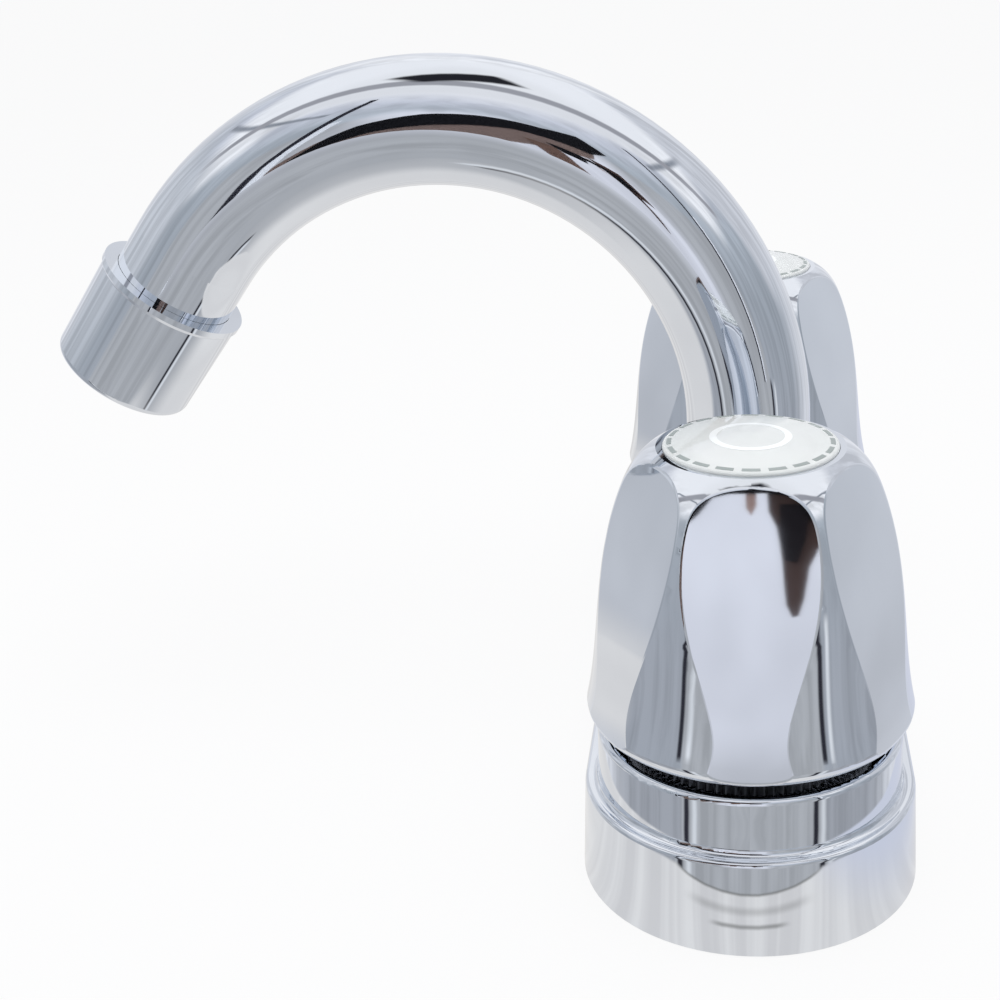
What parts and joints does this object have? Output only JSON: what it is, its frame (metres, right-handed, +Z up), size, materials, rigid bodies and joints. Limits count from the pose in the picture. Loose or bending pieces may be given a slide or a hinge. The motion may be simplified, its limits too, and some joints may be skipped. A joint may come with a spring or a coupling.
{
  "type": "basin mixer tap",
  "caption": "Basin mixer tap on one long deck cover, with a swivelling gooseneck spout between faceted turn handles, hot and cold, chrome plated.",
  "frame": {"origin": "on the spout's swivel axis, in the plane of the deck that the tap is bolted to", "axes": "+X along the line of the handles towards the cold side, -Y towards the outlet and the person who uses it, +Z up out of the deck"},
  "size_m": [0.1506, 0.1404, 0.1582],
  "materials": {
    "chrome": "mirror-polished chrome plate",
    "brass": "cast and machined brass",
    "dull_nickel": "dull nickel plate, toothed",
    "clear_acrylic": "clear polished acrylic",
    "rubber": "moulded black rubber",
    "ceramic": "lapped alumina ceramic",
    "steel": "bright stainless steel",
    "nylon": "moulded white nylon"
  },
  "bodies": {
    "tap_body": {"deck_cover": "chrome", "waterway_body": "brass", "inlet_shank_hot": "brass", "inlet_shank_cold": "brass", "base_gasket": "rubber", "cover_nuts": "dull_nickel", "mounting_washers": "steel", "mounting_nuts": "nylon", "cartridge_body_hot": "brass", "cartridge_body_cold": "brass", "cartridge_gaskets": "rubber", "fixed_disc_hot": "ceramic", "fixed_disc_cold": "ceramic", "seat_seal_hot": "rubber", "seat_seal_cold": "rubber", "spout_nut": "chrome", "slip_ring": "nylon"},
    "spout": {"spout_tube": "chrome", "spout_foot": "brass", "spout_o_rings": "rubber", "aerator_housing": "chrome", "aerator_insert": "nylon", "aerator_screen": "steel", "aerator_washer": "rubber"},
    "hot_handle": {"handle_hot": "chrome", "index_button_hot": "clear_acrylic", "handle_screw_hot": "steel", "spindle_hot": "brass", "moving_disc_hot": "ceramic", "spindle_o_rings_hot": "rubber", "retaining_clip_hot": "steel"},
    "cold_handle": {"handle_cold": "chrome", "index_button_cold": "clear_acrylic", "handle_screw_cold": "steel", "spindle_cold": "brass", "moving_disc_cold": "ceramic", "spindle_o_rings_cold": "rubber", "retaining_clip_cold": "steel"}
  },
  "joints": [
    {"name": "hot_handle_turn", "type": "hinge", "parent": "tap_body", "child": "hot_handle", "pos_m": [-0.0508, 0, 0.045], "axis": [0, 0, 1], "range_deg": [0, 90]},
    {"name": "cold_handle_turn", "type": "hinge", "parent": "tap_body", "child": "cold_handle", "pos_m": [0.0508, 0, 0.045], "axis": [0, 0, 1], "range_deg": [0, 90]},
    {"name": "spout_swivel", "type": "hinge", "parent": "tap_body", "child": "spout", "pos_m": [0, 0, 0.045], "axis": [0, 0, 1], "continuous": true}
  ]
}
